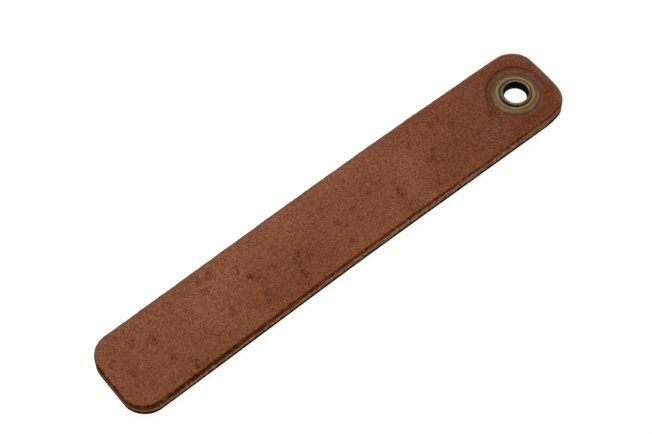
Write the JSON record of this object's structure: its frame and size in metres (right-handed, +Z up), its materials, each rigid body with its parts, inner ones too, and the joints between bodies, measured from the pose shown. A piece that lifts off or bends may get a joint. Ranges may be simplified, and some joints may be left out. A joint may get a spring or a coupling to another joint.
{
  "type": "leather strop",
  "caption": "Flat leather strop with rounded corners, suede-brown flesh side up and black grain side down, laminated, with an antique-brass hanging eyelet at one end.",
  "frame": {"origin": "middle of the strop's footprint, on the surface it lies on, which is the underside of the black back ply", "axes": "+X along the length towards the eyelet, +Y across the width, +Z up through the thickness with the brown stropping face on top"},
  "size_m": [0.203, 0.033, 0.0065],
  "materials": {
    "face_leather": "matte napped flesh side, brown",
    "bond_film": "dull cured contact cement",
    "back_leather": "satin black grain side, tan raw edge",
    "eyelet_brass": "pale worn antique brass",
    "washer_brass": "dull olive antique brass"
  },
  "bodies": {
    "root": {"face_leather": "face_leather", "bond_film": "bond_film", "back_leather": "back_leather", "eyelet": "eyelet_brass", "eyelet_washer": "washer_brass"}
  },
  "joints": []
}
